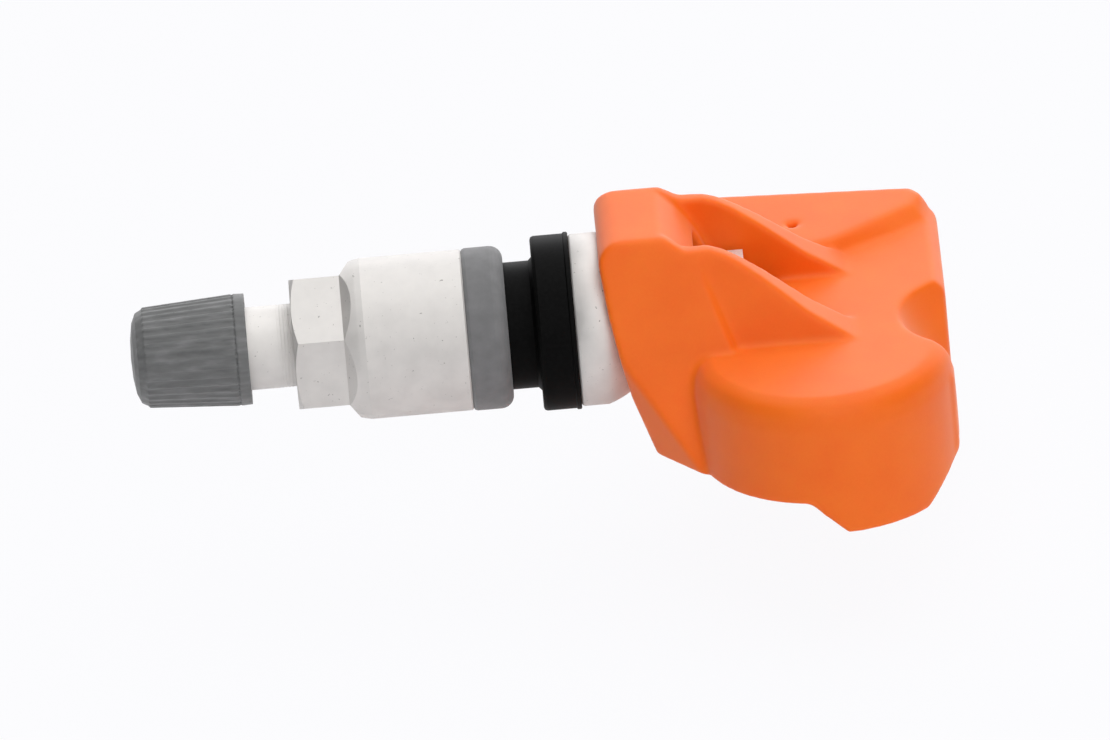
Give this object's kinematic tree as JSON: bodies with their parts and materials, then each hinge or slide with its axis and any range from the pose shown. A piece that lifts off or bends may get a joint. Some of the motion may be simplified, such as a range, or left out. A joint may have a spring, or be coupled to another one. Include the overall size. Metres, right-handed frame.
{
  "type": "tyre pressure sensor",
  "caption": "Tyre pressure sensor: orange plastic housing that tilts on the ball foot of a clamp-in aluminium valve, with collar nut, friction ring, rubber grommet and ribbed cap.",
  "frame": {"origin": "on the valve axis, in the plane where the grommet's flange meets the rim's inner face", "axes": "+X along the valve into the tyre, cap towards -X; +Z out of the housing's flat top; +Y towards the pressure port"},
  "size_m": [0.0758, 0.0431, 0.0239],
  "materials": {
    "cap_plastic": "ribbed moulded polyamide, dark grey, matt",
    "seal_rubber": "black rubber",
    "aluminium": "turned aluminium, satin",
    "brass": "turned brass",
    "core_ring": "red sealing ring",
    "core_steel": "plated steel",
    "ring_plastic": "grey moulded plastic, satin",
    "grommet_rubber": "black moulded rubber",
    "housing_plastic": "orange moulded glass-filled plastic, satin",
    "plated_steel": "nickel-plated steel",
    "board": "green glass-epoxy board",
    "cell_steel": "stainless steel can",
    "tab_nickel": "nickel strip",
    "chip_epoxy": "black moulded epoxy",
    "gasket_silicone": "white silicone",
    "ferrite": "sintered ferrite",
    "copper_wire": "enamelled copper wire, wound",
    "crystal_can": "metal can",
    "capacitor_ceramic": "ceramic chip"
  },
  "bodies": {
    "valve": {"valve_stem": "aluminium", "rubber_grommet": "grommet_rubber", "core_body": "brass", "core_ring": "core_ring", "core_spring": "core_steel"},
    "pin": {"core_pin": "core_steel", "core_plunger": "seal_rubber"},
    "cap_disc": {"cap_seal": "seal_rubber"},
    "cap": {"valve_cap": "cap_plastic"},
    "ring": {"friction_ring": "ring_plastic"},
    "nut": {"collar_nut": "aluminium"},
    "saddle": {"clamp_saddle": "plated_steel"},
    "screw": {"fixing_screw": "plated_steel"},
    "housing": {"housing_shell": "housing_plastic", "base_cover": "housing_plastic", "circuit_board": "board", "coin_cell": "cell_steel", "cell_tab_upper": "tab_nickel", "cell_tab_lower": "tab_nickel", "sensor_chip": "chip_epoxy", "port_gasket": "gasket_silicone", "ferrite_rod": "ferrite", "coil_winding": "copper_wire", "crystal": "crystal_can", "chip_capacitors": "capacitor_ceramic", "radio_antenna": "tab_nickel"}
  },
  "joints": [
    {"name": "cap_lift", "type": "slide", "parent": "valve", "child": "cap_disc", "axis": [-1, 0, 0], "range_m": [0, 0.0103]},
    {"name": "cap_turn", "type": "hinge", "parent": "cap_disc", "child": "cap", "pos_m": [-0.032, 0, 0], "axis": [-1, 0, 0], "range_deg": [0, 4680]},
    {"name": "nut_lift", "type": "slide", "parent": "valve", "child": "ring", "axis": [-1, 0, 0], "range_m": [0, 0.00396]},
    {"name": "nut_turn", "type": "hinge", "parent": "ring", "child": "nut", "pos_m": [-0.015, 0, 0], "axis": [-1, 0, 0], "range_deg": [0, 1800]},
    {"name": "core_press", "type": "slide", "parent": "valve", "child": "pin", "axis": [1, 0, 0], "range_m": [0, 0.0008], "stiffness_N_per_m": 600, "springref_m": -0.002},
    {"name": "saddle_lift", "type": "slide", "parent": "valve", "child": "saddle", "axis": [1, 0, 0], "range_m": [0, 0.00258]},
    {"name": "screw_turn", "type": "hinge", "parent": "saddle", "child": "screw", "pos_m": [0.018, 0, 0], "axis": [1, 0, 0], "range_deg": [0, 1330]},
    {"name": "housing_tilt", "type": "hinge", "parent": "valve", "child": "housing", "pos_m": [0.00355, 0, 0], "axis": [0, 1, 0], "range_deg": [0, 20]}
  ],
  "couplings": [
    {"joint": "cap_turn", "follows": "cap_lift", "rad_per_m": 7915.8},
    {"joint": "nut_turn", "follows": "nut_lift", "rad_per_m": 7915.8},
    {"joint": "screw_turn", "follows": "saddle_lift", "rad_per_m": 8976}
  ]
}
